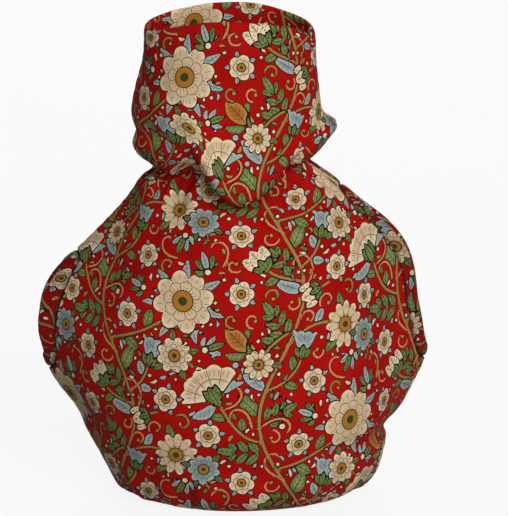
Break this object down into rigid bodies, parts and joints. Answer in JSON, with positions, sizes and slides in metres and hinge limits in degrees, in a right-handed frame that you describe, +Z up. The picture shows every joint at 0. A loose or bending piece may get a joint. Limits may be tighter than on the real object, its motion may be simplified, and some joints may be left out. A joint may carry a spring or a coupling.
{
  "type": "tea cosy",
  "caption": "Wadded cotton tea cosy that a teapot stands inside, gathered under the pot and at the neck, with a slouching open collar and a bound slit on each side for spout and handle.",
  "frame": {"origin": "on the surface that the hem rests on, under the middle of the cosy's box", "axes": "+Z up through the mouth of the collar; +X to the slit for the handle, -X to the slit for the spout; the front faces -Y"},
  "size_m": [0.2028, 0.163, 0.2506],
  "materials": {
    "printed_cotton": "matte woven cotton, red ground with a floral print in cream, blue-grey, green and ochre",
    "binding_cotton": "matte woven cotton, the same print cut in strips"
  },
  "bodies": {
    "root": {"front_panel": "printed_cotton", "back_panel": "printed_cotton", "spout_binding": "binding_cotton", "handle_binding": "binding_cotton"}
  },
  "joints": []
}
